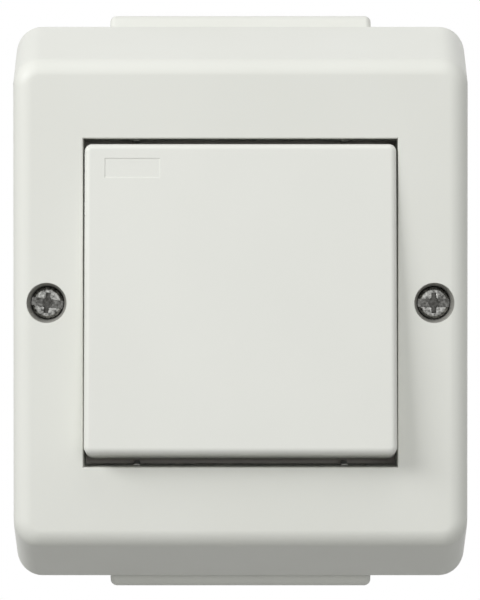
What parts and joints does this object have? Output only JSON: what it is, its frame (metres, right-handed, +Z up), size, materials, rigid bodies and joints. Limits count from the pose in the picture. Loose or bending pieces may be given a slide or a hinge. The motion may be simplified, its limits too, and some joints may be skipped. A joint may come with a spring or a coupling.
{
  "type": "wall switch",
  "caption": "Splash-proof surface-mounted wall switch: a box with closed cable entries, a screwed cover with sloping ends and a large tilting rocker over a two-way contact insert.",
  "frame": {"origin": "middle of the four wall-fixing holes, on the back plane that lies on the wall", "axes": "+Z up the wall, +X to the right as seen from the front, +Y into the wall, so the rocker faces -Y"},
  "size_m": [0.0742, 0.0508, 0.0952],
  "materials": {
    "white_moulding": "fine spark-eroded moulded surface",
    "white_rocker": "smooth satin moulded surface",
    "soft_entry": "soft moulded elastomer",
    "dark_seal": "dark moulded rubber",
    "grey_seal": "pale grey moulded rubber",
    "zinc_screw": "bright zinc plate",
    "zinc_sheet": "zinc-plated sheet steel",
    "grey_thermoset": "pressed thermoset",
    "bearing_plastic": "glass-filled polyamide",
    "actuator_plastic": "natural acetal",
    "contact_brass": "stamped brass strip",
    "contact_silver": "silver alloy contact face",
    "spring_steel": "drawn wire"
  },
  "bodies": {
    "housing": {"base_box": "white_moulding", "cover": "white_moulding", "cover_gasket": "dark_seal", "cover_screws": "zinc_screw", "screw_washers": "dark_seal", "upper_grommets": "soft_entry", "lower_grommets": "soft_entry", "support_plate": "zinc_sheet", "insert_screws": "zinc_screw", "insert_body": "grey_thermoset", "bearing_frame": "bearing_plastic", "rocker_seal": "grey_seal", "fixed_contact_tips": "contact_silver", "upper_contact": "contact_brass", "lower_contact": "contact_brass", "common_contact": "contact_brass", "terminal_clamps": "contact_brass", "terminal_screws": "zinc_screw"},
    "rocker": {"rocker": "white_rocker", "actuator": "actuator_plastic", "plunger_spring": "spring_steel"},
    "plunger": {"plunger": "actuator_plastic"},
    "contact_lever": {"contact_lever": "contact_brass", "lever_contact_tips": "contact_silver"}
  },
  "joints": [
    {"name": "rocker_tilt", "type": "hinge", "parent": "housing", "child": "rocker", "pos_m": [0, -0.042, 0], "axis": [1, 0, 0], "range_deg": [0, 10]},
    {"name": "plunger_slide", "type": "slide", "parent": "rocker", "child": "plunger", "axis": [0, -0.9962, 0.0872], "range_m": [0, 0.0015], "stiffness_N_per_m": 800, "springref_m": -0.003, "deforming": ["plunger_spring"]},
    {"name": "contact_tilt", "type": "hinge", "parent": "housing", "child": "contact_lever", "pos_m": [0, -0.02234, 0], "axis": [1, 0, 0], "range_deg": [-20, 0]}
  ],
  "couplings": [
    {"joint": "contact_tilt", "follows": "rocker_tilt", "ratio": -2}
  ]
}
